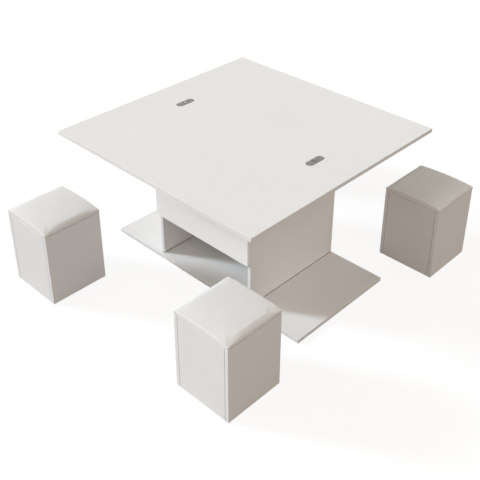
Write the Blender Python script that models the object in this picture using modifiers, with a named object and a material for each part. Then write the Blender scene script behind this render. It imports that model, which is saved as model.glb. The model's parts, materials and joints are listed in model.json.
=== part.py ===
"""Folding dining table with four padded box stools.

The top is two leaves hinged along a seam that runs along X. The rear leaf folds over onto the
front leaf, and the folded top slides back to sit centred on a storage body. The body stands on a
long base board whose free ends are parking bays for the stools. All lengths are in metres,
+Z is up, and the origin is on the floor under the middle of the table.
"""

import math

import bmesh
import bpy
from mathutils import Matrix, Vector

for old in list(bpy.data.objects):
    bpy.data.objects.remove(old, do_unlink=True)

# Shared sizes
BOARD = 0.018
FIT = 0.0003
OVERRUN = 0.004
EDGE_ROUND = 0.0008
SEAM_EASE_SHARE = 0.2
WELD = 0.00005
ROUND_SIDES = 12

# Table top
TOP_LENGTH = 1.200
LEAF_DEPTH = 0.600
TABLE_HEIGHT = 0.700
SEAM = 0.0005

# Base board
BASE_DEPTH = 0.600
STOOL_BAY = 0.300

# Body on the base board
BODY_WIDTH = 0.600
SHELF_CLEAR_HEIGHT = 0.230
FINGER_LIP = 0.014
BACK_INSET = 0.002

# Drawers
FRONT_GAP = 0.002
FRONT_SPLIT = 0.003
FRONT_TOP_GAP = 0.002
DRAWER_SIDE = 0.012
DRAWER_RISE = 0.042
DRAWER_TOP_ROOM = 0.0381
DRAWER_BACK_ROOM = 0.0617
DRAWER_FLOOR = 0.005
DRAWER_FLOOR_RISE = 0.008
GROOVE = 0.006

# Drawer runners
RUNNER_SPACE = 0.0127
RUNNER_WIDTH = 0.030
RUNNER_CHANNEL_DEPTH = 0.009
RUNNER_WALL = 0.0012
RUNNER_LIP = 0.008
RUNNER_SHORTER = 0.020
RUNNER_FRONT_MARGIN = 0.006

# Rails that the top slides on
RAIL_SPREAD = 0.400
RAIL_WIDTH = 0.044
RAIL_CHANNEL_DEPTH = 0.0135
RAIL_WALL = 0.0015
RAIL_LIP = 0.010
RAIL_FRONT_MARGIN = 0.0395
RAIL_END_MARGIN = 0.030
CHANNEL_END_MARGIN = 0.005
LEAF_OVER_CHANNEL = 0.005
BAR_CLEARANCE = 0.0007

# Leaf hinges
HINGE_FROM_END = 0.195
PLATE_WIDTH = 0.036
PLATE_REACH = 0.051
PLATE_GAP = 0.0008
KNUCKLE_RADIUS = 0.0022
KNUCKLE_CLEARANCE = 0.0004
KNUCKLE_SPACE = 0.0012
MIDDLE_KNUCKLE = 0.015
KNUCKLE_COLLAR = 0.0004
AXIS_RISE = 0.0003
PIN_RADIUS = 0.0011
HINGE_SCREW_RADIUS = 0.0016
HINGE_SCREW_HEAD_RADIUS = 0.0032
PILOT_DEPTH = 0.014
HINGE_SCREW_SPREAD = 0.009
HINGE_SCREW_NEAR = 0.021
HINGE_SCREW_FAR = 0.040

# Stools
STOOL_WIDTH = 0.292
STOOL_BOX_HEIGHT = 0.364
PANEL_SHADOW_GAP = 0.0006
PANEL_RECESS = 0.0002
SEAT_BOARD = 0.009
SEAT_BOARD_INSET = 0.0025
CUSHION_EDGE = 0.017
CUSHION_SHOULDER = 0.026
CUSHION_CROWN = 0.031
CUSHION_CORNER = 0.022
CUSHION_DRAW_IN = 0.0025

# Stool centres, as shares of half the top's length and of one leaf's depth
STOOL_PLACE_SHARES = {
    "left_stool": (-0.8467, -1.2183),
    "front_stool": (0.9148, -1.1177),
    "right_stool": (1.0168, 1.0456),
    "rear_stool": (-0.9148, 1.1177),
}

# Levels and planes that several pieces meet at
half_top = TOP_LENGTH / 2
half_body = BODY_WIDTH / 2
body_inner = half_body - BOARD
half_base = half_body + STOOL_BAY
base_front = -BASE_DEPTH / 2
base_back = BASE_DEPTH / 2
base_top = BOARD
leaf_bottom = TABLE_HEIGHT - BOARD
panel_bottom = base_top + FIT
panel_top = leaf_bottom - FIT
panel_front = base_front + BOARD + FRONT_GAP
front_back_face = base_front + BOARD
back_panel_front = base_back - BACK_INSET - BOARD
rail_floor = leaf_bottom - LEAF_OVER_CHANNEL - RAIL_CHANNEL_DEPTH
body_top_level = rail_floor - FIT
lower_front_bottom = base_top + SHELF_CLEAR_HEIGHT
deck_bottom = lower_front_bottom + FINGER_LIP
fronts_top = body_top_level - FRONT_TOP_GAP
front_height = (fronts_top - lower_front_bottom - FRONT_SPLIT) / 2
drawer_height = front_height - DRAWER_RISE - DRAWER_TOP_ROOM
drawer_box_front = front_back_face + FIT
drawer_depth = back_panel_front - DRAWER_BACK_ROOM - drawer_box_front
runner_length = drawer_depth - RUNNER_SHORTER
rail_length = LEAF_DEPTH - SEAM / 2 - RAIL_END_MARGIN - RAIL_FRONT_MARGIN
hinge_x = half_top - HINGE_FROM_END
knuckle_reach = KNUCKLE_RADIUS + KNUCKLE_CLEARANCE
pocket_depth = knuckle_reach - AXIS_RISE
plate_thickness = pocket_depth - FIT

# A hinge plate's screws, as places across it and out from the seam
hinge_screw_places = ((-HINGE_SCREW_SPREAD, HINGE_SCREW_NEAR), (HINGE_SCREW_SPREAD, HINGE_SCREW_NEAR),
                      (0, HINGE_SCREW_FAR))

# Where each body's own empty stands: on its joint's axis or line of travel
BODY_ORIGINS = {
    "base": Vector((0, 0, 0)),
    "front_leaf": Vector((0, -LEAF_DEPTH / 2, leaf_bottom)),
    "rear_leaf": Vector((0, 0, TABLE_HEIGHT + AXIS_RISE)),
    "lower_drawer": Vector((0, base_front, lower_front_bottom)),
    "upper_drawer": Vector((0, base_front, lower_front_bottom + front_height + FRONT_SPLIT)),
}
for stool, (share_x, share_y) in STOOL_PLACE_SHARES.items():
    BODY_ORIGINS[stool] = Vector((share_x * half_top, share_y * LEAF_DEPTH, 0))


def material(name, color, roughness, metallic=0.0):
    made = bpy.data.materials.new(name)
    made.use_nodes = True
    shader = made.node_tree.nodes["Principled BSDF"]
    shader.inputs["Base Color"].default_value = (*color, 1)
    shader.inputs["Roughness"].default_value = roughness
    shader.inputs["Metallic"].default_value = metallic
    return made


WHITE_BOARD = material("white_board", (0.80, 0.79, 0.77), 0.45)
DRAWER_BOARD = material("drawer_board", (0.70, 0.69, 0.66), 0.55)
LEATHERETTE = material("leatherette", (0.78, 0.77, 0.74), 0.50)
PLYWOOD = material("plywood", (0.62, 0.50, 0.34), 0.70)
NICKEL = material("nickel", (0.55, 0.54, 0.52), 0.35, 1.0)
STEEL = material("steel", (0.60, 0.60, 0.61), 0.40, 1.0)

pieces = bpy.data.collections.new("table_with_stools")
cutters = bpy.data.collections.new("cutters")
for collection in (pieces, cutters):
    bpy.context.scene.collection.children.link(collection)

empties = {}
for body, origin in BODY_ORIGINS.items():
    empties[body] = bpy.data.objects.new(body + "_origin", None)
    empties[body].location = origin
    pieces.objects.link(empties[body])


def keep(name, mesh, body, finish):
    """The object of a finished mesh, whose points are relative to its body's empty."""
    obj = bpy.data.objects.new(name, mesh)
    mesh.materials.clear()
    mesh.materials.append(finish)
    obj.parent = empties[body]
    pieces.objects.link(obj)
    return obj


def cutter(name, mesh):
    obj = bpy.data.objects.new(name, mesh)
    obj.hide_render = True
    obj.display_type = "WIRE"
    cutters.objects.link(obj)
    return obj


def boolean(obj, tool, operation="DIFFERENCE"):
    cut = obj.modifiers.new(tool.name, "BOOLEAN")
    cut.object = tool
    cut.operation = operation
    cut.solver = "EXACT"
    return cut


def add_bevel(obj, width):
    bevel = obj.modifiers.new("edge_round", "BEVEL")
    bevel.width = width
    bevel.segments = 1
    bevel.limit_method = "ANGLE"


def box_mesh(name, low, high):
    """A box between two corners, as a mesh."""
    low, high = Vector(low), Vector(high)
    bm = bmesh.new()
    size = Matrix.Diagonal((*(high - low), 1))
    bmesh.ops.create_cube(bm, size=1, matrix=Matrix.Translation((low + high) / 2) @ size)
    mesh = bpy.data.meshes.new(name)
    bm.to_mesh(mesh)
    bm.free()
    return mesh


def board(name, low, high, body="base", finish=WHITE_BOARD):
    """A board between two corners of the table's own space, with its edges eased."""
    origin = BODY_ORIGINS[body]
    mesh = box_mesh(name, Vector(low) - origin, Vector(high) - origin)
    obj = keep(name, mesh, body, finish)
    add_bevel(obj, EDGE_ROUND)
    return obj


def cylinder_mesh(name, radius, height):
    """A cylinder that stands on its own origin."""
    bm = bmesh.new()
    lift = Matrix.Translation((0, 0, height / 2))
    bmesh.ops.create_cone(bm, cap_ends=True, segments=ROUND_SIDES, radius1=radius,
                          radius2=radius, depth=height, matrix=lift)
    mesh = bpy.data.meshes.new(name)
    bm.to_mesh(mesh)
    bm.free()
    return mesh


def evaluated_mesh(obj):
    """The welded mesh of an object with its modifiers applied; the object goes."""
    graph = bpy.context.evaluated_depsgraph_get()
    mesh = bpy.data.meshes.new_from_object(obj.evaluated_get(graph))
    bm = bmesh.new()
    bm.from_mesh(mesh)
    bmesh.ops.remove_doubles(bm, verts=bm.verts, dist=WELD)
    bmesh.ops.recalc_face_normals(bm, faces=bm.faces)
    bm.to_mesh(mesh)
    bm.free()
    bpy.data.objects.remove(obj, do_unlink=True)
    return mesh


def outline_mesh(name, points, thickness):
    """A flat outline in local X and Y, made this thick along Z about its own plane."""
    curve = bpy.data.curves.new(name, "CURVE")
    curve.dimensions = "2D"
    curve.fill_mode = "BOTH"
    curve.extrude = thickness / 2
    spline = curve.splines.new("POLY")
    spline.points.add(len(points) - 1)
    for target, (x, y) in zip(spline.points, points):
        target.co = (x, y, 0, 1)
    spline.use_cyclic_u = True
    obj = bpy.data.objects.new(name, curve)
    pieces.objects.link(obj)
    bpy.context.view_layer.update()
    return evaluated_mesh(obj)


def channel_mesh(name, width, depth, wall, lip, length):
    """A C channel with its back on local Y = 0 and its slot at Y = depth, long in Z."""
    side = (width - wall) / 2
    top = depth - wall / 2
    path = [(lip - width / 2, top), (-side, top), (-side, wall / 2),
            (side, wall / 2), (side, top), (width / 2 - lip, top)]
    bm = bmesh.new()
    line = [bm.verts.new((x, y, -length / 2)) for x, y in path]
    edges = [bm.edges.new(pair) for pair in zip(line, line[1:])]
    swept = bmesh.ops.extrude_edge_only(bm, edges=edges)["geom"]
    moved = [part for part in swept if isinstance(part, bmesh.types.BMVert)]
    bmesh.ops.translate(bm, verts=moved, vec=(0, 0, length))
    bmesh.ops.recalc_face_normals(bm, faces=bm.faces)
    mesh = bpy.data.meshes.new(name)
    bm.to_mesh(mesh)
    bm.free()
    obj = bpy.data.objects.new(name, mesh)
    pieces.objects.link(obj)
    shell = obj.modifiers.new("wall", "SOLIDIFY")
    shell.thickness = wall
    shell.offset = 0
    shell.use_even_offset = True
    bpy.context.view_layer.update()
    return evaluated_mesh(obj)


def slide_bar_mesh(name, width, depth, wall, lip, reach, length):
    """The T bar that runs in such a channel and reaches out of its slot to Y = reach."""
    foot = width / 2 - wall - BAR_CLEARANCE
    low = wall + BAR_CLEARANCE
    high = depth - wall - BAR_CLEARANCE
    web = width / 2 - lip - BAR_CLEARANCE
    points = [(-foot, low), (foot, low), (foot, high), (web, high),
              (web, reach), (-web, reach), (-web, high), (-foot, high)]
    return outline_mesh(name, points, length)


def group_mesh(name, placed):
    """One mesh of several separate solids, each a (mesh, matrix) pair."""
    bm = bmesh.new()
    for mesh, matrix in placed:
        start = len(bm.verts)
        bm.from_mesh(mesh)
        bm.verts.ensure_lookup_table()
        bmesh.ops.transform(bm, matrix=matrix, verts=bm.verts[start:])
    bmesh.ops.recalc_face_normals(bm, faces=bm.faces)
    joined = bpy.data.meshes.new(name)
    bm.to_mesh(joined)
    bm.free()
    return joined


def fit_in(name, mesh, matrix, body, finish):
    """A piece that is made about its own origin, set in the table's own space by this matrix."""
    own = mesh.copy()
    own.name = name
    own.transform(Matrix.Translation(-BODY_ORIGINS[body]) @ matrix)
    return keep(name, own, body, finish)


def axes(across, outward, centre):
    """Takes a profile's local X to across and its local Y to outward, at this centre."""
    across, outward = Vector(across), Vector(outward)
    turned = Matrix((across, outward, across.cross(outward))).transposed()
    return Matrix.Translation(centre) @ turned.to_4x4()


def make_body():
    """The base board, side panels, back, deck over the open shelf and board under the rails."""
    board("base_board", (-half_base, base_front, 0), (half_base, base_back, base_top))
    for side, sx in (("left", -1), ("right", 1)):
        inner, outer = sorted((sx * body_inner, sx * half_body))
        board(side + "_side_panel", (inner, panel_front, panel_bottom), (outer, base_back, panel_top))
    reach = body_inner - FIT
    board("back_panel", (-reach, back_panel_front, panel_bottom),
          (reach, back_panel_front + BOARD, panel_top))
    for name, top in (("drawer_deck", deck_bottom + BOARD), ("body_top_board", body_top_level)):
        board(name, (-reach, panel_front, top - BOARD), (reach, back_panel_front - FIT, top))


def make_top_rails():
    """Two fixed channels on the body, and the bars under the front leaf that run in them."""
    channel_length = back_panel_front - panel_front - 2 * CHANNEL_END_MARGIN
    channel_middle = (back_panel_front + panel_front) / 2
    sizes = (RAIL_WIDTH, RAIL_CHANNEL_DEPTH, RAIL_WALL, RAIL_LIP)
    channel = channel_mesh("rail_channel", *sizes, channel_length)
    reach = leaf_bottom - FIT - rail_floor
    bar = slide_bar_mesh("rail_bar", *sizes, reach, rail_length)
    bar_middle = -SEAM / 2 - RAIL_END_MARGIN - rail_length / 2
    for side, sx in (("left", -1), ("right", 1)):
        x = sx * RAIL_SPREAD / 2
        for name, mesh, middle, body in (("rail_channel", channel, channel_middle, "base"),
                                         ("rail_bar", bar, bar_middle, "front_leaf")):
            place = axes((1, 0, 0), (0, 0, 1), (x, middle, rail_floor))
            fit_in(f"{side}_{name}", mesh, place, body, STEEL)


def drawer_side_mesh(name):
    """A drawer side's section, with the floor's groove open towards local -X, long in Z."""
    low = DRAWER_FLOOR_RISE - FIT
    high = DRAWER_FLOOR_RISE + DRAWER_FLOOR + FIT
    points = [(0, 0), (DRAWER_SIDE, 0), (DRAWER_SIDE, drawer_height), (0, drawer_height),
              (0, high), (GROOVE, high), (GROOVE, low), (0, low)]
    return outline_mesh(name, points, drawer_depth)


def make_drawer(body):
    """One drawer: its front, two grooved sides, back, floor and the bars of its runners."""
    bottom = BODY_ORIGINS[body].z
    box_low = bottom + DRAWER_RISE
    box_back = drawer_box_front + drawer_depth
    outer = body_inner - RUNNER_SPACE
    inner = outer - DRAWER_SIDE
    board(body + "_front", (-half_body, base_front, bottom),
          (half_body, front_back_face, bottom + front_height), body)
    middle = (drawer_box_front + box_back) / 2
    for side, sx in (("left", -1), ("right", 1)):
        name = f"{body}_{side}_side"
        place = axes((sx, 0, 0), (0, 0, 1), (sx * inner, middle, box_low))
        fit_in(name, drawer_side_mesh(name), place, body, DRAWER_BOARD)
    floor_low = box_low + DRAWER_FLOOR_RISE
    floor_reach = inner + GROOVE - FIT
    board(body + "_floor", (-floor_reach, drawer_box_front, floor_low),
          (floor_reach, box_back, floor_low + DRAWER_FLOOR), body, DRAWER_BOARD)
    board(body + "_back", (FIT - inner, box_back - DRAWER_SIDE, floor_low + DRAWER_FLOOR + FIT),
          (inner - FIT, box_back, box_low + drawer_height), body, DRAWER_BOARD)

    sizes = (RUNNER_WIDTH, RUNNER_CHANNEL_DEPTH, RUNNER_WALL, RUNNER_LIP)
    bar = slide_bar_mesh(body + "_bar", *sizes, RUNNER_SPACE - 2 * FIT, runner_length)
    channel = channel_mesh(body + "_channel", *sizes, runner_length)
    level = box_low + drawer_height / 2
    run_middle = panel_front + RUNNER_FRONT_MARGIN + runner_length / 2
    for side, sx in (("left", -1), ("right", 1)):
        place = axes((0, 0, 1), (-sx, 0, 0), (sx * (body_inner - FIT), run_middle, level))
        fit_in(f"{body}_{side}_runner_bar", bar, place, body, STEEL)
        fit_in(f"{body}_{side}_runner_channel", channel, place, "base", STEEL)


def round_end(radius):
    """The half round at a hinge plate's far end, from +X to -X, for a plate or its pocket."""
    centre = PLATE_REACH - PLATE_WIDTH / 2
    turns = [math.pi * step / ROUND_SIDES for step in range(ROUND_SIDES + 1)]
    return [(radius * math.cos(turn), centre + radius * math.sin(turn)) for turn in turns]


def plate_outline(side):
    """A hinge plate from above: round far end, and tongues at the seam for its own knuckles.

    The front plate, side -1, holds the two outer knuckles and the rear one the middle knuckle.
    """
    radius = PLATE_WIDTH / 2
    tongue = MIDDLE_KNUCKLE / 2 - KNUCKLE_COLLAR
    root = KNUCKLE_RADIUS / 2
    if side < 0:
        slot = MIDDLE_KNUCKLE / 2 + KNUCKLE_SPACE + KNUCKLE_COLLAR
        edge = [(-radius, root), (-slot, root), (-slot, knuckle_reach),
                (slot, knuckle_reach), (slot, root), (radius, root)]
    else:
        edge = [(-radius, knuckle_reach + FIT), (-tongue, knuckle_reach), (-tongue, root),
                (tongue, root), (tongue, knuckle_reach), (radius, knuckle_reach + FIT)]
    return [(x, side * y) for x, y in round_end(radius) + edge]


def knuckle_spans(side):
    """The stretches of X that this plate's knuckles take."""
    inner = MIDDLE_KNUCKLE / 2
    if side > 0:
        return [(-inner, inner)]
    start, end = inner + KNUCKLE_SPACE, PLATE_WIDTH / 2 - KNUCKLE_COLLAR
    return [(-end, -start), (start, end)]


def along_x(name, radius, start, end):
    """A cylinder and the matrix that lays it on the hinge's axis between two places in X."""
    lay = Matrix.Translation((start, 0, 0)) @ Matrix.Rotation(math.pi / 2, 4, "Y")
    return cylinder_mesh(name, radius, end - start), lay


def plate_mesh(side):
    """One hinge plate with its knuckles and bore, about the hinge's axis."""
    name = "front_plate" if side < 0 else "rear_plate"
    flat = outline_mesh(name, plate_outline(side), plate_thickness)
    flat.transform(Matrix.Translation((0, 0, -AXIS_RISE - plate_thickness / 2)))
    obj = bpy.data.objects.new(name, flat)
    pieces.objects.link(obj)
    knuckles = [along_x(name + "_knuckle", KNUCKLE_RADIUS, *span) for span in knuckle_spans(side)]
    boolean(obj, cutter(name + "_knuckles", group_mesh(name + "_knuckles", knuckles)), "UNION")
    past_end = PLATE_WIDTH / 2 + OVERRUN
    bore = group_mesh(name + "_bore", [along_x("bore", PIN_RADIUS + FIT, -past_end, past_end)])
    boolean(obj, cutter(name + "_bore", bore))
    holes = []
    for x, y in hinge_screw_places:
        hole = cylinder_mesh("plate_hole", HINGE_SCREW_HEAD_RADIUS + FIT, pocket_depth + 2 * OVERRUN)
        holes.append((hole, Matrix.Translation((x, side * y, -AXIS_RISE - pocket_depth - OVERRUN))))
    boolean(obj, cutter(name + "_screw_holes", group_mesh(name + "_screw_holes", holes)))
    bpy.context.view_layer.update()
    return evaluated_mesh(obj)


def pocket_outline(side):
    """The plate's pocket in its leaf: the same round end with a narrow gap, open at the seam."""
    radius = PLATE_WIDTH / 2 + PLATE_GAP
    mouth = [(-radius, -OVERRUN), (radius, -OVERRUN)]
    return [(x, side * y) for x, y in round_end(radius) + mouth]


def hinge_spots():
    """The two hinges' names and the middles of their axes."""
    height = BODY_ORIGINS["rear_leaf"].z
    return [("left", Matrix.Translation((-hinge_x, 0, height))),
            ("right", Matrix.Translation((hinge_x, 0, height)))]


def ease_seam(leaf, seam_y):
    """Eases a leaf's long edges at the seam less than its others, so that the joint stays fine."""
    mesh = leaf.data
    shares = mesh.attributes.new("bevel_weight_edge", "FLOAT", "EDGE")
    for edge, share in zip(mesh.edges, shares.data):
        ends = [mesh.vertices[index].co for index in edge.vertices]
        at_seam = all(math.isclose(end.y, seam_y, abs_tol=WELD) for end in ends)
        along = not math.isclose(ends[0].x, ends[1].x, abs_tol=WELD)
        share.value = SEAM_EASE_SHARE if at_seam and along else 1
    leaf.modifiers["edge_round"].limit_method = "WEIGHT"


def make_leaf(body, side):
    """One leaf with the pockets and pilot holes of its two hinge plates, and the plates."""
    near, far = side * SEAM / 2, side * LEAF_DEPTH
    low_y, high_y = sorted((near, far))
    leaf = board(body + "_board", (-half_top, low_y, leaf_bottom),
                 (half_top, high_y, TABLE_HEIGHT), body)
    ease_seam(leaf, near - BODY_ORIGINS[body].y)

    pocket = outline_mesh(body + "_pocket", pocket_outline(side), pocket_depth + OVERRUN)
    drop = Matrix.Translation((0, 0, (OVERRUN - pocket_depth) / 2 - AXIS_RISE))
    pockets = group_mesh(body + "_pockets", [(pocket, spot @ drop) for _, spot in hinge_spots()])
    boolean(leaf, cutter(body + "_pockets", pockets))

    pilot = cylinder_mesh(body + "_pilot", HINGE_SCREW_RADIUS, PILOT_DEPTH)
    pilots = [(pilot, spot @ Matrix.Translation((x, side * y, -AXIS_RISE - PILOT_DEPTH)))
              for _, spot in hinge_spots() for x, y in hinge_screw_places]
    boolean(leaf, cutter(body + "_pilots", group_mesh(body + "_pilots", pilots)))
    plate = plate_mesh(side)
    which = "front" if side < 0 else "rear"
    for name, spot in hinge_spots():
        fit_in(f"{name}_hinge_{which}_plate", plate, spot, body, NICKEL)


def make_hinge_pins():
    """The pin that each hinge's two plates turn on."""
    pin, turned = along_x("pin", PIN_RADIUS, -PLATE_WIDTH / 2, PLATE_WIDTH / 2)
    for name, spot in hinge_spots():
        fit_in(name + "_hinge_pin", pin, spot @ turned, "front_leaf", NICKEL)


def cushion_mesh(name):
    """A crowned pad with rounded edges and sides drawn in between its corners.

    The cage is a grid whose columns and rows count from -2 to 2, with walls down to its base.
    """
    half = STOOL_WIDTH / 2
    places = {-2: -half, -1: CUSHION_CORNER - half, 0: 0, 1: half - CUSHION_CORNER, 2: half}
    heights = (CUSHION_CROWN, CUSHION_SHOULDER, CUSHION_EDGE)
    bm = bmesh.new()
    hard = bm.edges.layers.float.new("crease_edge")
    bmesh.ops.create_grid(bm, x_segments=4, y_segments=4, size=2)
    top = set(bm.verts)
    rim = [edge for edge in bm.edges if edge.is_boundary]
    walls = bmesh.ops.extrude_edge_only(bm, edges=rim)["geom"]
    base_edges = [part for part in walls
                  if isinstance(part, bmesh.types.BMEdge) and top.isdisjoint(part.verts)]
    bmesh.ops.contextual_create(bm, geom=base_edges)
    for vert in bm.verts:
        column, row = round(vert.co.x), round(vert.co.y)
        x, y = places[column], places[row]
        if row == 0 and abs(column) == 2:
            x -= math.copysign(CUSHION_DRAW_IN, x)
        if column == 0 and abs(row) == 2:
            y -= math.copysign(CUSHION_DRAW_IN, y)
        vert.co = (x, y, heights[max(abs(column), abs(row))] if vert in top else 0)
    for edge in base_edges:
        edge[hard] = 1
    bmesh.ops.recalc_face_normals(bm, faces=bm.faces)
    mesh = bpy.data.meshes.new(name)
    bm.to_mesh(mesh)
    bm.free()
    return mesh


def make_stool(stool):
    """A box of four panels with an upholstered seat board on top."""
    origin = BODY_ORIGINS[stool]
    half = STOOL_WIDTH / 2
    for side, sx in (("left", -1), ("right", 1)):
        x0, x1 = sorted((sx * (half - BOARD), sx * half))
        board(f"{stool}_{side}_panel", origin + Vector((x0, -half, 0)),
              origin + Vector((x1, half, STOOL_BOX_HEIGHT)), stool)
    reach = half - BOARD - PANEL_SHADOW_GAP
    outer = half - PANEL_RECESS
    for side, sy in (("front", -1), ("back", 1)):
        y0, y1 = sorted((sy * (outer - BOARD), sy * outer))
        board(f"{stool}_{side}_panel", origin + Vector((-reach, y0, 0)),
              origin + Vector((reach, y1, STOOL_BOX_HEIGHT)), stool)
    seat_half = half - SEAT_BOARD_INSET
    seat_bottom = STOOL_BOX_HEIGHT + FIT
    seat_top = seat_bottom + SEAT_BOARD
    board(stool + "_seat_board", origin + Vector((-seat_half, -seat_half, seat_bottom)),
          origin + Vector((seat_half, seat_half, seat_top)), stool, PLYWOOD)
    cushion = keep(stool + "_cushion", cushion_mesh(stool + "_cushion"), stool, LEATHERETTE)
    cushion.location = (0, 0, seat_top + FIT)
    smooth = cushion.modifiers.new("soft", "SUBSURF")
    smooth.levels = smooth.render_levels = 2
    cushion.data.shade_smooth()


make_body()
make_top_rails()
for drawer in ("lower_drawer", "upper_drawer"):
    make_drawer(drawer)
make_leaf("front_leaf", -1)
make_leaf("rear_leaf", 1)
make_hinge_pins()
for stool in STOOL_PLACE_SHARES:
    make_stool(stool)
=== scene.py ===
"""Looks of the folding table with four padded stools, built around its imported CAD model."""

import math

import bmesh
import bpy
import numpy as np
from mathutils import Matrix, Vector, noise
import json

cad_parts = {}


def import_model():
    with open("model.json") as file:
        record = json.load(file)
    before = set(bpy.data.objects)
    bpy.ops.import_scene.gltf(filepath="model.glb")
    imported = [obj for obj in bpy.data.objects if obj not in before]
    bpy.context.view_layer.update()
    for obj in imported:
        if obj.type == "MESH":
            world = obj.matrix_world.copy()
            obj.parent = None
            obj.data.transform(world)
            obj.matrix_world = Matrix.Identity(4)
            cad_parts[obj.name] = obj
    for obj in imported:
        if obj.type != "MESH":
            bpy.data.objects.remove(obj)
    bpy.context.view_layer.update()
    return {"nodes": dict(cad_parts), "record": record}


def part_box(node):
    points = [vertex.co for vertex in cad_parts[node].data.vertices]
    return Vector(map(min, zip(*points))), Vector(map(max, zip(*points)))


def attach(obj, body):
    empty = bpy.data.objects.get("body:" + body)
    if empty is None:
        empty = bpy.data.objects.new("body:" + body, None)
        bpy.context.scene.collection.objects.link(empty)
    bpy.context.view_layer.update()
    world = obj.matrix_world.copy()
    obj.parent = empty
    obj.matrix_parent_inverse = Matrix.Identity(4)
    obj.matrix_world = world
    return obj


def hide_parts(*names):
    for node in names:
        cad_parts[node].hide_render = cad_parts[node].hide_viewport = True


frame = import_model()

STOOLS = ("left_stool", "front_stool", "right_stool", "rear_stool")
HINGES = ("left", "right")

# The table top's leaves, and the way that each lies from the seam along Y.
LEAVES = (("front", -1), ("rear", 1))

# Corners of a square about the origin, in their order round it.
SQUARE = ((1, 1), (-1, 1), (-1, -1), (1, -1))

# Camera, fitted to the corners of the table and the stools in the photo. Angles are in degrees.
IMAGE_PIXELS = 480
FOCAL_PIXELS = 812.7884
CENTRE_ROW = 239.5
PRINCIPAL_ROW = 151.6032
SENSOR_WIDTH = 36.0
CAMERA_CLIP = (0.05, 100.0)
CAMERA_PLACE = (2.2499, -2.3615, 2.4147)
CAMERA_YAW = 44.0771
CAMERA_PITCH = -29.3064
CAMERA_ROLL = 0.0727
LEVEL_TILT = 90

# Lamps, each with where its light comes from: azimuth from +X towards +Y, and height, in degrees.
KEY = {"azimuth": 210.0, "height": 24.0, "angle": 10.0, "strength": 3.0, "colour": (0.827, 0.918, 1.0)}
SIDE_FILL = {"azimuth": -30.0, "height": 20.0, "angle": 40.0, "strength": 0.417, "colour": (1.0, 0.92, 0.84)}
FRONT_FILL = {"azimuth": 245.0, "height": 54.0, "angle": 20.0, "strength": 0.34, "colour": (1.0, 0.96, 0.86)}

# The studio's soft light: its colour by the upward share of a direction, with a bright band all round.
SKY = [(0.25, (0.20, 0.07, 0.03)), (0.35, (1.27, 1.195, 1.08)), (0.62, (1.27, 1.195, 1.08)),
       (0.78, (0.01, 0.01, 0.01))]

# The floor: its colour for the light that it throws on the object, and its shade and glow where it is seen.
FLOOR_SIZE = 30.0
FLOOR_BOUNCE = (0.21, 0.20, 0.19)
FLOOR_SHADE = (0.15, 0.15, 0.15)
FLOOR_GLOW = 0.87
PURE_WHITE = (1.0, 1.0, 1.0, 1.0)


def camera():
    data = bpy.data.cameras.new("camera")
    data.sensor_width = SENSOR_WIDTH
    data.lens = FOCAL_PIXELS / IMAGE_PIXELS * SENSOR_WIDTH
    data.shift_y = (PRINCIPAL_ROW - CENTRE_ROW) / IMAGE_PIXELS
    data.clip_start, data.clip_end = CAMERA_CLIP
    obj = bpy.data.objects.new("camera", data)
    bpy.context.scene.collection.objects.link(obj)
    turn = (
        Matrix.Rotation(math.radians(CAMERA_YAW), 4, "Z")
        @ Matrix.Rotation(math.radians(LEVEL_TILT + CAMERA_PITCH), 4, "X")
        @ Matrix.Rotation(math.radians(CAMERA_ROLL), 4, "Z")
    )
    obj.matrix_world = Matrix.Translation(CAMERA_PLACE) @ turn
    bpy.context.scene.camera = obj


def lamp(name, azimuth, height, angle, strength, colour):
    data = bpy.data.lights.new(name, "SUN")
    data.energy = strength
    data.color = colour
    data.angle = math.radians(angle)
    obj = bpy.data.objects.new(name, data)
    bpy.context.scene.collection.objects.link(obj)
    azimuth, height = math.radians(azimuth), math.radians(height)
    to_lamp = Vector((
        math.cos(azimuth) * math.cos(height),
        math.sin(azimuth) * math.cos(height),
        math.sin(height),
    ))
    obj.rotation_euler = to_lamp.to_track_quat("Z", "Y").to_euler()


# Where a colour ramp's new stops start, before they get their own places.
RAMP_MIDDLE = 0.5


class Nodes:
    """Short ways to add and join shader nodes."""

    def __init__(self, tree):
        self.tree = tree
        tree.nodes.clear()

    def add(self, kind, inputs=(), **settings):
        """Adds a node; an input is a constant or another node's output."""
        node = self.tree.nodes.new(kind)
        for name, value in settings.items():
            setattr(node, name, value)
        for name, value in dict(inputs).items():
            socket = node.inputs[name]
            if isinstance(value, bpy.types.NodeSocket):
                self.tree.links.new(value, socket)
            else:
                socket.default_value = value
        return node

    def ramp(self, factor, stops):
        """A colour that follows a factor through stops of (place, colour)."""
        node = self.add("ShaderNodeValToRGB", {"Fac": factor})
        ramp = node.color_ramp
        while len(ramp.elements) < len(stops):
            ramp.elements.new(RAMP_MIDDLE)
        for element, (place, colour) in zip(ramp.elements, stops):
            element.position = place
            element.color = (*colour, 1.0)
        return node.outputs["Color"]

    def greater(self, first, second):
        return self.add("ShaderNodeMath", {0: first, 1: second}, operation="MAXIMUM").outputs[0]

    def seen(self):
        """1 for rays from the camera and for reflected and refracted ones."""
        path = self.add("ShaderNodeLightPath").outputs
        rays = self.greater(path["Is Camera Ray"], path["Is Glossy Ray"])
        return self.greater(rays, path["Is Transmission Ray"])


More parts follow.
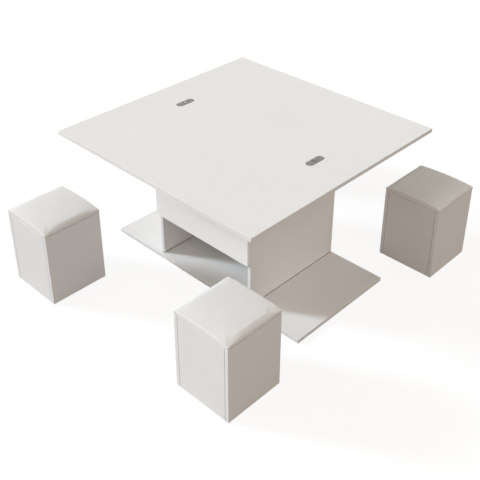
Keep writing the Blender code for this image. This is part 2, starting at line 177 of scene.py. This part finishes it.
def world():
    """The studio's soft light, with plain white where it is seen."""
    made = bpy.data.worlds.new("studio")
    bpy.context.scene.world = made
    made.use_nodes = True
    n = Nodes(made.node_tree)
    way = n.add("ShaderNodeSeparateXYZ", {0: n.add("ShaderNodeTexCoord").outputs["Generated"]})
    fill = n.add("ShaderNodeBackground", {"Color": n.ramp(way.outputs["Z"], SKY)})
    white = n.add("ShaderNodeBackground", {"Color": PURE_WHITE})
    mix = n.add("ShaderNodeMixShader", {0: n.seen(), 1: fill.outputs[0], 2: white.outputs[0]})
    n.add("ShaderNodeOutputWorld", {"Surface": mix.outputs[0]})


def floor():
    mesh = bpy.data.meshes.new("floor")
    half = FLOOR_SIZE / 2
    mesh.from_pydata([(half * a, half * b, 0) for a, b in SQUARE], [], [(0, 1, 2, 3)])
    obj = bpy.data.objects.new("floor", mesh)
    bpy.context.scene.collection.objects.link(obj)
    material = bpy.data.materials.new("floor")
    material.use_nodes = True
    n = Nodes(material.node_tree)
    bounce = n.add("ShaderNodeBsdfDiffuse", {"Color": (*FLOOR_BOUNCE, 1.0)})
    shade = n.add("ShaderNodeBsdfDiffuse", {"Color": (*FLOOR_SHADE, 1.0)})
    glow = n.add("ShaderNodeEmission", {"Color": PURE_WHITE, "Strength": FLOOR_GLOW})
    both = n.add("ShaderNodeAddShader", {0: shade.outputs[0], 1: glow.outputs[0]})
    mix = n.add("ShaderNodeMixShader", {0: n.seen(), 1: bounce.outputs[0], 2: both.outputs[0]})
    n.add("ShaderNodeOutputMaterial", {"Surface": mix.outputs[0]})
    mesh.materials.append(material)


# Most of a noise's values lie in this span, which is spread over the tones and over the roughness.
NOISE_SPAN = (0.3, 0.7)
TONE_DETAIL = 4.0
TONE_ROUGHNESS = 0.6
FINE_DETAIL = 3.0
GRAIN_DETAIL = 2.0

# Width of the valleys between leather pebbles, in shares of a pebble.
PEBBLE_VALLEY_SHARE = 0.12


def grain_height(n, place, kind, scale):
    """Height of one layer of surface grain: soft noise, or pebbles with narrow valleys between them."""
    if kind == "noise":
        layer = n.add("ShaderNodeTexNoise", {"Vector": place, "Scale": scale, "Detail": GRAIN_DETAIL})
        return layer.outputs["Fac"]
    cells = n.add("ShaderNodeTexVoronoi", {"Vector": place, "Scale": scale}, feature="DISTANCE_TO_EDGE")
    dome = n.add("ShaderNodeMapRange", {
        "Value": cells.outputs["Distance"], "From Min": 0.0, "From Max": PEBBLE_VALLEY_SHARE,
        "To Min": 0.0, "To Max": 1.0,
    }, interpolation_type="SMOOTHSTEP")
    return dome.outputs[0]


def finish_of(name, tones, tone_scale, roughness, spread, rough_scale, grain, stretch=(1, 1, 1),
              metallic=0.0, specular=0.5):
    """A material whose colour drifts between two tones and whose roughness varies by a spread; grain is a
    list of (kind, scale, depth in metres, strength) of layered bumps."""
    material = bpy.data.materials.new(name)
    material.use_nodes = True
    n = Nodes(material.node_tree)
    place = n.add("ShaderNodeTexCoord").outputs["Object"]
    mapped = n.add("ShaderNodeMapping", {"Vector": place, "Scale": stretch}).outputs[0]
    broad = n.add("ShaderNodeTexNoise", {
        "Vector": mapped, "Scale": tone_scale, "Detail": TONE_DETAIL, "Roughness": TONE_ROUGHNESS,
    })
    colour = n.ramp(broad.outputs["Fac"], list(zip(NOISE_SPAN, tones)))
    fine = n.add("ShaderNodeTexNoise", {"Vector": mapped, "Scale": rough_scale, "Detail": FINE_DETAIL})
    rough = n.add("ShaderNodeMapRange", {
        "Value": fine.outputs["Fac"], "From Min": NOISE_SPAN[0], "From Max": NOISE_SPAN[1],
        "To Min": roughness - spread, "To Max": roughness + spread,
    })
    shader = n.add("ShaderNodeBsdfPrincipled", {
        "Base Color": colour, "Roughness": rough.outputs[0], "Metallic": metallic,
        "Specular IOR Level": specular,
    })
    normal = None
    for kind, scale, depth, strength in grain:
        bump = n.add("ShaderNodeBump", {
            "Height": grain_height(n, mapped, kind, scale), "Distance": depth, "Strength": strength,
        })
        if normal:
            n.tree.links.new(normal, bump.inputs["Normal"])
        normal = bump.outputs[0]
    n.tree.links.new(normal, shader.inputs["Normal"])
    n.add("ShaderNodeOutputMaterial", {"Surface": shader.outputs[0]})
    return material


WHITE = finish_of(
    "white_lacquer", tones=((0.785, 0.779, 0.775), (0.81, 0.804, 0.80)), tone_scale=2.5,
    roughness=0.66, spread=0.04, rough_scale=60.0, grain=[("noise", 420.0, 0.00006, 0.35)], specular=0.12)
# Painted light: a whiter copy of the lacquer for the drawer fronts, which lightens them against the shade of
# the overhanging top.
FRONT_WHITE_PAINTED_LIGHT = finish_of(
    "drawer_front_lacquer_painted_light", tones=((0.845, 0.838, 0.832), (0.87, 0.863, 0.857)), tone_scale=2.5,
    roughness=0.6, spread=0.04, rough_scale=60.0, grain=[("noise", 420.0, 0.00006, 0.35)], specular=0.12)
DRAWER = finish_of(
    "drawer_melamine", tones=((0.66, 0.65, 0.62), (0.69, 0.68, 0.655)), tone_scale=9.0,
    roughness=0.5, spread=0.05, rough_scale=150.0, grain=[("noise", 600.0, 0.00008, 0.5)])
PLYWOOD = finish_of(
    "plywood", tones=((0.50, 0.37, 0.22), (0.66, 0.53, 0.36)), tone_scale=7.0,
    roughness=0.6, spread=0.06, rough_scale=120.0, grain=[("noise", 260.0, 0.0001, 0.5)],
    stretch=(1.0, 9.0, 9.0))
LEATHER = finish_of(
    "leatherette", tones=((0.78, 0.775, 0.765), (0.81, 0.805, 0.795)), tone_scale=14.0,
    roughness=0.6, spread=0.05, rough_scale=220.0,
    grain=[("noise", 90.0, 0.0003, 0.3), ("pebbles", 650.0, 0.00008, 0.6)], specular=0.2)
# Painted shade for the slit under each cushion's hem: a dark copy, and a pale copy for the sides where less
# shade is painted.
SEAM_SHADE = finish_of(
    "seam_shade_painted", tones=((0.07, 0.067, 0.063), (0.10, 0.096, 0.09)), tone_scale=60.0,
    roughness=0.85, spread=0.05, rough_scale=300.0, grain=[("noise", 900.0, 0.0002, 0.6)], specular=0.2)
SEAM_SHADE_PALE = finish_of(
    "pale_seam_shade_painted", tones=((0.42, 0.415, 0.405), (0.50, 0.495, 0.48)), tone_scale=60.0,
    roughness=0.85, spread=0.05, rough_scale=300.0, grain=[("noise", 900.0, 0.0002, 0.6)], specular=0.2)
# Painted shade: a near-black colour for strips put in joints and gaps where there is only shade.
JOINT_SHADE = finish_of(
    "joint_shadow", tones=((0.05, 0.048, 0.045), (0.07, 0.067, 0.063)), tone_scale=60.0,
    roughness=0.7, spread=0.05, rough_scale=300.0, grain=[("noise", 900.0, 0.0001, 0.5)], specular=0.2)
# Nickel whose tones are darker than the bare metal's and drift widely in patches: partly the metal's own
# tone, partly painted reflection of darker surroundings.
NICKEL_WITH_PAINTED_REFLECTION = finish_of(
    "nickel", tones=((0.17, 0.158, 0.15), (0.30, 0.284, 0.272)), tone_scale=55.0,
    roughness=0.34, spread=0.06, rough_scale=400.0, grain=[("noise", 900.0, 0.00003, 0.3)],
    stretch=(1.0, 3.0, 3.0), metallic=1.0)
SCREW = finish_of(
    "screw_steel", tones=((0.50, 0.48, 0.46), (0.60, 0.58, 0.56)), tone_scale=200.0,
    roughness=0.28, spread=0.05, rough_scale=500.0, grain=[("noise", 1500.0, 0.00002, 0.3)], metallic=1.0)
ZINC = finish_of(
    "zinc_steel", tones=((0.50, 0.50, 0.51), (0.60, 0.60, 0.61)), tone_scale=40.0,
    roughness=0.36, spread=0.07, rough_scale=200.0, grain=[("noise", 500.0, 0.00004, 0.3)],
    stretch=(1.0, 6.0, 6.0), metallic=1.0)

BY_SLOT = {"white_board": WHITE, "drawer_board": DRAWER, "plywood": PLYWOOD,
           "leatherette": LEATHER, "nickel": NICKEL_WITH_PAINTED_REFLECTION, "rail_steel": ZINC}
BY_NODE = {"lower_drawer_front": FRONT_WHITE_PAINTED_LIGHT, "upper_drawer_front": FRONT_WHITE_PAINTED_LIGHT}


def dress_nodes():
    """Gives each CAD node the material of its slot; the drawer fronts get a whiter copy of the lacquer, with
    painted light.
    """
    for part in frame["record"]["subparts"]:
        mesh = frame["nodes"][part["node"]].data
        mesh.materials.clear()
        mesh.materials.append(BY_NODE.get(part["node"], BY_SLOT[part["material_slot"]]))


def bridge(bm, near, far):
    """Joins two closed loops of as many points with four-sided faces."""
    for k in range(len(near)):
        after = (k + 1) % len(near)
        bm.faces.new((near[k], far[k], far[after], near[after]))


def finished_mesh(bm, name):
    """Turns the faces outwards and puts them in a mesh."""
    bmesh.ops.recalc_face_normals(bm, faces=bm.faces)
    mesh = bpy.data.meshes.new(name)
    bm.to_mesh(mesh)
    bm.free()
    return mesh


def new_piece(name, mesh, material, body, smooth=False):
    """Puts a mesh in the scene as a piece that rides on a body."""
    mesh.name = name
    mesh.materials.clear()
    mesh.materials.append(material)
    for face in mesh.polygons:
        face.use_smooth = smooth
    obj = bpy.data.objects.new(name, mesh)
    bpy.context.scene.collection.objects.link(obj)
    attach(obj, body)
    return obj


# The cushion's cover, one mesh about its stool's middle. Its sides go down from the shoulder to the bottom.
COVER_HALF = 0.1456
COVER_START_SHRINK = 0.0006
COVER_START_HALF = COVER_HALF - COVER_START_SHRINK
COVER_CORNER = 0.0018
COVER_BULGE = 0.0008
COVER_BOTTOM = 0.3660
COVER_SHOULDER = 0.3785

# Its top: rims that rise steeply along the front and back and are cut off wide along the left and right,
# an arch that falls towards the corners, and a low crown.
COVER_EDGE_RISE = 0.0035
COVER_EDGE_POWER = 300
COVER_BEVEL_START_SHARE = 0.85
COVER_BEVEL_DROP_SHARE = 0.5
COVER_BEVEL_POWER = 5
COVER_ARCH_RISE = 0.0075
COVER_ARCH_POWER = 2.5
COVER_CROWN_RISE = 0.0045
COVER_CROWN_POWER = 2.0

# Its mesh: steps from the side inwards, which grow after the fine ones, and rows down the side.
COVER_FINE_STEPS = (0.0003, 0.0006, 0.0009, 0.0012, 0.0013, 0.0013, 0.0013, 0.0013, 0.0013, 0.0013, 0.0014)
COVER_STEP_GROWTH = 1.2
COVER_SIDE_ROWS = 9

# How it is blown up, and how far a point may move. Its height is held more towards the sides.
COVER_FRAMES = 20
COVER_PINNED_ROWS = 2
COVER_CAP_UP = 0.0020
COVER_CAP_OUT = 0.0004
COVER_HOLD_POWER = 3
CLOTH = {"quality": 8, "mass": 0.25, "tension_stiffness": 18, "compression_stiffness": 18,
         "shear_stiffness": 8, "bending_stiffness": 0.6, "use_pressure": True, "uniform_pressure_force": 4.0}

# Its hem, rolled inwards, and the cavity over the seat board.
HEM_BOTTOM = 0.3652
HEM_ROLL = 0.0004
CAVITY_HALF = 0.1441
CAVITY_TOP = 0.3736

# The pleat at each corner: a V with its point at the hem, on the sides that face along X. The point and the
# tops of its two arms are distances from the corner, and it gets deeper from the hem up.
PLEAT_POINT = 0.0060
PLEAT_NEAR = 0.0026
PLEAT_FAR = 0.0115
PLEAT_TOP = 0.3775
PLEAT_WIDTH = 0.0012
PLEAT_DEPTHS = (0.0008, 0.0022)
PLEAT_DEPTH_POWER = 4
PLEAT_LIFT = 0.0006
PLEAT_FADE_UP = 0.0024
PLEAT_FADE_IN = 0.0020

# How far each corner of the cover stands out over its box, less towards the hem and along the sides.
CORNER_PUFF = 0.0030
CORNER_PUFF_POWER = 12

# Small unevenness of the stretched cover, as (waves per metre, depth), and how far apart the stools read it.
DENTS = ((17.0, 0.0006), (55.0, 0.00022))
DENT_STEP = 7.3

# The painted shade that shows in the slit under the hem: a ring where the slit's shade falls.
SEAM_SHADE_BOTTOM = 0.36405
SEAM_SHADE_TOP = 0.3650
SEAM_SHADE_INNER = 0.1436
SEAM_SHADE_OUTER = 0.1441


def soft_corner(x, y):
    """Moves a point of a square's outline onto the same square with rounded corners."""
    inner = COVER_START_HALF - COVER_CORNER
    over_x, over_y = abs(x) - inner, abs(y) - inner
    if over_x <= 0 or over_y <= 0:
        return x, y
    reach = max(over_x, over_y) / math.hypot(over_x, over_y)
    return math.copysign(inner + over_x * reach, x), math.copysign(inner + over_y * reach, y)


def cover_rise(u, v):
    """Height of the cover's top over its shoulder; u and v run from -1 to 1 across the seat."""
    u, v = min(abs(u), 1), min(abs(v), 1)
    beyond = max(u - COVER_BEVEL_START_SHARE, 0) / (1 - COVER_BEVEL_START_SHARE)
    rounding = 1 - math.sqrt(1 - beyond ** COVER_BEVEL_POWER)
    bevel = 1 - COVER_BEVEL_DROP_SHARE * beyond - (1 - COVER_BEVEL_DROP_SHARE) * rounding
    edge = bevel * math.sqrt(1 - v ** COVER_EDGE_POWER)
    arch = 1 - (u * v) ** COVER_ARCH_POWER
    crown = (1 - u ** COVER_CROWN_POWER) * (1 - v ** COVER_CROWN_POWER)
    return edge * (COVER_EDGE_RISE + COVER_ARCH_RISE * arch) + COVER_CROWN_RISE * crown


def cover_steps():
    """Places across the cover from -1 to 1, close together near the sides."""
    gaps = list(COVER_FINE_STEPS)
    while sum(gaps) < COVER_HALF:
        gaps.append(gaps[-1] * COVER_STEP_GROWTH)
    places = np.concatenate([[0], np.cumsum(gaps)]) / sum(gaps) - 1
    return [*places, *(-places[-2::-1])]


def cover_start():
    """The cover before it is inflated, as (points, faces, pinned points, rim points in order)."""
    steps = cover_steps()
    count = len(steps) - 1
    index, points, faces = {}, [], []
    for i, u in enumerate(steps):
        for j, v in enumerate(steps):
            index[i, j] = len(points)
            points.append((*soft_corner(u * COVER_START_HALF, v * COVER_START_HALF),
                           COVER_SHOULDER + cover_rise(u, v)))
    for i in range(count):
        for j in range(count):
            faces.append((index[i, j], index[i + 1, j], index[i + 1, j + 1], index[i, j + 1]))
    ring = ([(i, 0) for i in range(count)] + [(count, j) for j in range(count)]
            + [(count - i, count) for i in range(count)] + [(0, count - j) for j in range(count)])
    outline = [points[index[key]][:2] for key in ring]
    above = [index[key] for key in ring]
    for row in range(1, COVER_SIDE_ROWS + 1):
        share = row / COVER_SIDE_ROWS
        wider = 1 + COVER_BULGE / COVER_START_HALF * math.sin(math.pi * share)
        z = COVER_SHOULDER + (COVER_BOTTOM - COVER_SHOULDER) * share
        below = list(range(len(points), len(points) + len(ring)))
        points += [(x * wider, y * wider, z) for x, y in outline]
        for k in range(len(ring)):
            after = (k + 1) % len(ring)
            faces.append((above[k], below[k], below[after], above[after]))
        above = below
    pinned = list(range(len(points) - COVER_PINNED_ROWS * len(ring), len(points)))
    return points, faces, pinned, above


def inflated(points, faces, pinned, rim):
    """The cover's points after a short pressure simulation, each kept near its start."""
    mesh = bpy.data.meshes.new("cover_trial")
    mesh.from_pydata(points, [], faces + [tuple(reversed(rim))])
    obj = bpy.data.objects.new("cover_trial", mesh)
    bpy.context.scene.collection.objects.link(obj)
    obj.vertex_groups.new(name="pinned").add(pinned, 1.0, "REPLACE")
    cloth = obj.modifiers.new("cloth", "CLOTH")
    cloth.settings.vertex_group_mass = "pinned"
    for name, value in CLOTH.items():
        setattr(cloth.settings, name, value)
    cloth.settings.effector_weights.gravity = 0
    cloth.point_cache.frame_end = COVER_FRAMES
    scene = bpy.context.scene
    for step in range(1, COVER_FRAMES + 1):
        scene.frame_set(step)
    graph = bpy.context.evaluated_depsgraph_get()
    found = np.array([vert.co for vert in obj.evaluated_get(graph).data.vertices])
    scene.frame_set(1)
    bpy.data.objects.remove(obj, do_unlink=True)
    start = np.array(points)
    most = np.array((COVER_CAP_OUT, COVER_CAP_OUT, COVER_CAP_UP))
    shift = most * np.tanh((found - start) / most)
    outward = np.clip(np.abs(start[:, :2]).max(1) / COVER_HALF, 0, 1)
    shift[:, 2] *= 1 - outward ** COVER_HOLD_POWER
    return start + shift


def subdivided(mesh):
    """A copy of a mesh with one level of subdivision applied."""
    obj = bpy.data.objects.new("cover_trial", mesh)
    bpy.context.scene.collection.objects.link(obj)
    obj.modifiers.new("subdivision", "SUBSURF").levels = 1
    graph = bpy.context.evaluated_depsgraph_get()
    made = bpy.data.meshes.new_from_object(obj.evaluated_get(graph))
    bpy.data.objects.remove(obj, do_unlink=True)
    return made


def cover_mesh():
    """The closed cover: its inflated outside, a rolled hem, and a cavity over the seat board."""
    points, faces, pinned, rim = cover_start()
    places = inflated(points, faces, pinned, rim)
    bm = bmesh.new()
    verts = [bm.verts.new(place) for place in places]
    for face in faces:
        bm.faces.new([verts[i] for i in face])
    sharp = bm.edges.layers.float.new("crease_edge")
    above = [verts[i] for i in rim]
    for half, z in ((COVER_START_HALF - HEM_ROLL, HEM_BOTTOM + HEM_ROLL / 2),
                    (CAVITY_HALF + HEM_ROLL, HEM_BOTTOM),
                    (CAVITY_HALF, HEM_BOTTOM + HEM_ROLL), (CAVITY_HALF, CAVITY_TOP)):
        below = []
        for i in rim:
            x, y = (c / COVER_START_HALF for c in points[i][:2])
            below.append(bm.verts.new((x * half, y * half, z)))
        bridge(bm, above, below)
        above = below
    roof = bm.faces.new(list(reversed(above)))
    for edge in roof.edges:
        edge[sharp] = 1.0
    return subdivided(finished_mesh(bm, "cover"))


def pleat_shift(s, z):
    """How far the corner pleat moves a side's point outwards; s is the distance from the corner."""
    rise = (z - HEM_BOTTOM) / (PLEAT_TOP - HEM_BOTTOM)
    share = min(max(rise, 0), 1)
    near = PLEAT_POINT + (PLEAT_NEAR - PLEAT_POINT) * share
    far = PLEAT_POINT + (PLEAT_FAR - PLEAT_POINT) * share
    fade = math.exp(-((max(rise - 1, 0) * (PLEAT_TOP - HEM_BOTTOM) / PLEAT_FADE_UP) ** 2))
    creases = sum(math.exp(-(((s - arm) / PLEAT_WIDTH) ** 2)) for arm in (near, far))
    flap = math.sin(math.pi * (s - near) / (far - near)) if near < s < far else 0.0
    shallow, deep = PLEAT_DEPTHS
    depth = shallow + (deep - shallow) * share ** PLEAT_DEPTH_POWER
    return fade * (PLEAT_LIFT * flap * share - depth * min(creases, 1))


def shape_cover(mesh, offset):
    """Gives the outside of a cover about the origin its small dents, corner pleats and proud corners."""
    moved = []
    for vert in mesh.vertices:
        x, y, z = place = vert.co.copy()
        if max(abs(x), abs(y)) > SEAM_SHADE_OUTER or z > CAVITY_TOP + HEM_ROLL:
            if z > COVER_BOTTOM:
                dent = sum(depth * noise.noise(place * waves + offset) for waves, depth in DENTS)
                place += vert.normal * dent
            inwards = COVER_HALF - abs(x)
            if inwards < PLEAT_FADE_IN:
                shift = pleat_shift(COVER_HALF - abs(y), z) * (1 - max(inwards, 0) / PLEAT_FADE_IN)
                place.x += math.copysign(shift, x)
            height = min(max((z - HEM_BOTTOM) / (COVER_SHOULDER - HEM_BOTTOM), 0), 1)
            puff = CORNER_PUFF * height * (abs(x * y) / COVER_HALF ** 2) ** CORNER_PUFF_POWER
            place += Vector((math.copysign(puff, x), math.copysign(puff, y), 0))
        moved.append(place)
    for vert, place in zip(mesh.vertices, moved):
        vert.co = place


def square_ring(inner, outer, low, high):
    """A closed square ring about the origin. Each loop of its faces starts with the one towards +Y."""
    bm = bmesh.new()
    loops = []
    for half, z in ((inner, low), (outer, low), (outer, high), (inner, high)):
        loops.append([bm.verts.new((half * a, half * b, z)) for a, b in SQUARE])
    for near, far in zip(loops, loops[1:] + loops[:1]):
        bridge(bm, near, far)
    return finished_mesh(bm, "ring")


def add_covers():
    """Adds each stool's cover, and a ring of painted shade in the slit under its hem: dark where it shows
    along X, pale where it shows along Y.
    """
    shape = cover_mesh()
    gap_shade = square_ring(SEAM_SHADE_INNER, SEAM_SHADE_OUTER, SEAM_SHADE_BOTTOM, SEAM_SHADE_TOP)
    for turn, stool in enumerate(STOOLS):
        low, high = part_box(stool + "_cushion")
        middle = (low + high) / 2
        move = Matrix.Translation((middle.x, middle.y, 0))
        mesh = shape.copy()
        mesh.transform(Matrix.Rotation(turn * math.pi, 4, "Z"))
        shape_cover(mesh, Vector((turn * DENT_STEP, turn, 0)))
        mesh.transform(move)
        cover = new_piece(stool + "_cover", mesh, LEATHER, stool, smooth=True)
        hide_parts(stool + "_cushion")
        # The ring is painted shade, dark on its faces along X and pale on its faces along Y.
        ring = gap_shade.copy()
        ring.transform(move)
        new_piece(stool + "_seam_shade_painted", ring, SEAM_SHADE, stool)
        ring.materials.append(SEAM_SHADE_PALE)
        for face in ring.polygons:
            face.material_index = int(face.index % 2 == 0)


# Painted shade: dark strips in the joints between boards, put where there is only the crevices' shade. Where
# two boards meet at right angles, the strip's section is a small hollow bead in their corner, lifted off
# both.
BEAD = 0.0018
BEAD_LIFT = 0.0001
BEAD_END = 0.0009
BEAD_LONG_SHARE = 0.5
BEAD_SHORT_SHARE = 0.3
CORNER_BEAD = [(BEAD_LIFT, BEAD_LIFT), (BEAD, BEAD_LIFT), (BEAD * BEAD_LONG_SHARE, BEAD * BEAD_SHORT_SHARE),
               (BEAD * BEAD_SHORT_SHARE, BEAD * BEAD_LONG_SHARE), (BEAD_LIFT, BEAD)]

# Beside a stool's front or back panel, the strip fills the gap and the eased edges at its mouth.
EASED_EDGE = 0.0008
STRIP_BELOW_FACE = 0.0003
STRIP_ROOT = 0.0020
STRIP_SPREAD = EASED_EDGE - STRIP_BELOW_FACE - BEAD_LIFT


def add_strip(bm, start, end, across, up, section):
    """Adds a closed strip between two points; its section is a list of (across, up)."""
    rings = [[bm.verts.new(Vector(place) + Vector(across) * a + Vector(up) * b) for a, b in section]
             for place in (start, end)]
    bridge(bm, *rings)
    for ring in rings:
        bm.faces.new(ring)


def add_joint_shade(name, body, strips):
    """One piece with all the painted-shade strips in a body's joints; strips is a list of add_strip's values.
    """
    bm = bmesh.new()
    for strip in strips:
        add_strip(bm, *strip)
    new_piece(name, finished_mesh(bm, name), JOINT_SHADE, body)


def base_joint_shade():
    """Painted-shade strips in the joints between the storage body's panels and the base board, outside and in
    the shelf.
    """
    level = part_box("base_board")[1].z
    low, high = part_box("right_side_panel")
    back_low, back_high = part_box("back_panel")

    def strip(start, end, away):
        return (*start, level), (*end, level), (*away, 0), (0, 0, 1), CORNER_BEAD

    strips = []
    for side in (-1, 1):
        for x, away in ((high.x, side), (low.x, -side)):
            back = high.y if away == side else back_low.y
            strips.append(strip((side * x, low.y + BEAD_END), (side * x, back - BEAD_END), (away, 0)))
        strips.append(strip((side * (low.x + BEAD_END), low.y), (side * (high.x - BEAD_END), low.y), (0, -1)))
    for y, away in ((back_low.y, -1), (back_high.y, 1)):
        strips.append(strip((back_low.x + BEAD_END, y), (back_high.x - BEAD_END, y), (0, away)))
    return strips


def stool_joint_shade(stool):
    """Painted-shade strips in the joints beside a stool's front and back panels."""
    side_low, side_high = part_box(stool + "_left_panel")
    right_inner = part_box(stool + "_right_panel")[0].x
    strips = []
    for panel, edge, out in (("front", side_low.y, -1), ("back", side_high.y, 1)):
        low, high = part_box(f"{stool}_{panel}_panel")
        face = low.y if out < 0 else high.y
        recess = abs(edge - face)
        for inner, wall, over in ((side_high.x, low.x, 1), (right_inner, high.x, -1)):
            gap = abs(wall - inner)
            section = [(BEAD_LIFT, -STRIP_ROOT), (BEAD_LIFT, recess - EASED_EDGE),
                       (recess - STRIP_SPREAD, -STRIP_BELOW_FACE), (gap + STRIP_SPREAD, -STRIP_BELOW_FACE),
                       (gap - BEAD_LIFT, -EASED_EDGE), (gap - BEAD_LIFT, -STRIP_ROOT)]
            strips.append(((inner, face, low.z + BEAD_END), (inner, face, high.z - BEAD_END),
                           (over, 0, 0), (0, out, 0), section))
    return strips


def add_all_joint_shade():
    add_joint_shade("base_joint_shade", "base", base_joint_shade())
    for stool in STOOLS:
        add_joint_shade(stool + "_joint_shade", stool, stool_joint_shade(stool))


# Countersunk hinge screws: (radius, depth under the plate's face) down the head and shank.
SCREW_SIDES = 40
SCREW_PROFILE = ((0.00320, 0.0), (0.00320, 0.00020), (0.00155, 0.00200), (0.00145, 0.00240),
                 (0.00145, 0.01250), (0.00040, 0.01350))
SCREW_EASE = 0.00012

# The cross recess in a screw's head, which narrows towards its bottom.
RECESS_LENGTH = 0.0019
RECESS_WIDTH = 0.00045
RECESS_DEPTH = 0.0011
RECESS_TAPER_SHARE = 0.6

# The screws of a plate as (across its middle, away from the seam), and how far each of all the screws turned.
SCREW_PLACES = ((-0.009, 0.021), (0.009, 0.021), (0.0, 0.040))
SCREW_TURNS = (0.3, 1.1, 0.7, 0.15, 0.9, 0.5, 1.35, 0.05, 0.6, 1.2, 0.4, 0.8)


def screw_mesh():
    """A countersunk screw about Z with a cross recess, its face at the origin."""
    bm = bmesh.new()

    def loop(points, z):
        return [bm.verts.new((x, y, z)) for x, y in points]

    def circle(radius, z):
        return loop([(radius * math.cos(2 * math.pi * k / SCREW_SIDES),
                      radius * math.sin(2 * math.pi * k / SCREW_SIDES)) for k in range(SCREW_SIDES)], z)

    def cross(size, z):
        a, b = RECESS_WIDTH * size, RECESS_LENGTH * size
        return loop([(b, -a), (b, a), (a, a), (a, b), (-a, b), (-a, a),
                     (-b, a), (-b, -a), (-a, -a), (-a, -b), (a, -b), (a, -a)], z)

    face = circle(SCREW_PROFILE[0][0] - SCREW_EASE, 0)
    mouth, pit = cross(1, 0), cross(RECESS_TAPER_SHARE, -RECESS_DEPTH)
    rims = [bm.edges.new(ends) for ring in (face, mouth) for ends in zip(ring, ring[1:] + ring[:1])]
    bmesh.ops.triangle_fill(bm, edges=rims, use_beauty=True)
    bridge(bm, mouth, pit)
    bm.faces.new(pit)
    upper = face
    for radius, depth in SCREW_PROFILE:
        lower = circle(radius, -max(depth, SCREW_EASE))
        bridge(bm, upper, lower)
        upper = lower
    bm.faces.new(upper)
    return finished_mesh(bm, "screw")


def add_hinge_screws():
    screw = screw_mesh()
    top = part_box("front_leaf_board")[1].z
    turns = iter(SCREW_TURNS)
    for side in HINGES:
        for which, out in LEAVES:
            low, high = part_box(f"{side}_hinge_{which}_plate")
            for number, (across, reach) in enumerate(SCREW_PLACES, 1):
                mesh = screw.copy()
                mesh.transform(Matrix.Translation(((low.x + high.x) / 2 + across, out * reach, top))
                               @ Matrix.Rotation(next(turns), 4, "Z"))
                new_piece(f"{side}_hinge_{which}_screw_{number}", mesh, SCREW, which + "_leaf")


# The painted shade in the gap round each hinge plate, a dark strip: distances from the plate's rim, and
# depths.
HINGE_ROUND_SIDES = 12
HINGE_SHADE_INNER = 0.0001
HINGE_SHADE_OUTER = 0.0007
HINGE_SHADE_TOP = 0.0005
HINGE_SHADE_BOTTOM = 0.0022
HINGE_SHADE_SECTION = (
    (HINGE_SHADE_INNER, HINGE_SHADE_BOTTOM), (HINGE_SHADE_OUTER, HINGE_SHADE_BOTTOM),
    (HINGE_SHADE_OUTER, HINGE_SHADE_TOP), (HINGE_SHADE_INNER, HINGE_SHADE_TOP))
KNUCKLE_ROOM = 0.0003


def hinge_plate_shade(bm, low, high, out, top):
    """Adds one plate's painted gap shade: a closed strip round its far end, open at the seam."""
    radius = (high.x - low.x) / 2
    reach = max(abs(low.y), abs(high.y))
    middle = (low.x + high.x) / 2
    turns = [math.pi * step / HINGE_ROUND_SIDES for step in range(HINGE_ROUND_SIDES + 1)]
    path = [(1, 0, 0), *((math.cos(turn), reach - radius, math.sin(turn)) for turn in turns), (-1, 0, 0)]
    rings = []
    for across, start, ahead in path:
        ring = []
        for more, depth in HINGE_SHADE_SECTION:
            y = max(start + (radius + more) * ahead, KNUCKLE_ROOM)
            ring.append(bm.verts.new((middle + (radius + more) * across, out * y, top - depth)))
        rings.append(ring)
    for near, far in zip(rings, rings[1:]):
        bridge(bm, near, far)
    bm.faces.new(rings[0])
    bm.faces.new(rings[-1])


# Painted shade: dark strips in the gaps round the hinge plates, one piece for each leaf.
def add_hinge_plate_shades():
    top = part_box("front_leaf_board")[1].z
    for which, out in LEAVES:
        bm = bmesh.new()
        for side in HINGES:
            hinge_plate_shade(bm, *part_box(f"{side}_hinge_{which}_plate"), out, top)
        mesh = finished_mesh(bm, "gap_shade")
        new_piece(f"{which}_leaf_hinge_plate_shade", mesh, JOINT_SHADE, which + "_leaf")


bpy.context.scene.view_settings.view_transform = "Standard"
camera()
lamp("key", **KEY)
lamp("side_fill", **SIDE_FILL)
lamp("front_fill", **FRONT_FILL)
world()
floor()
dress_nodes()
add_covers()
add_all_joint_shade()
add_hinge_screws()
add_hinge_plate_shades()
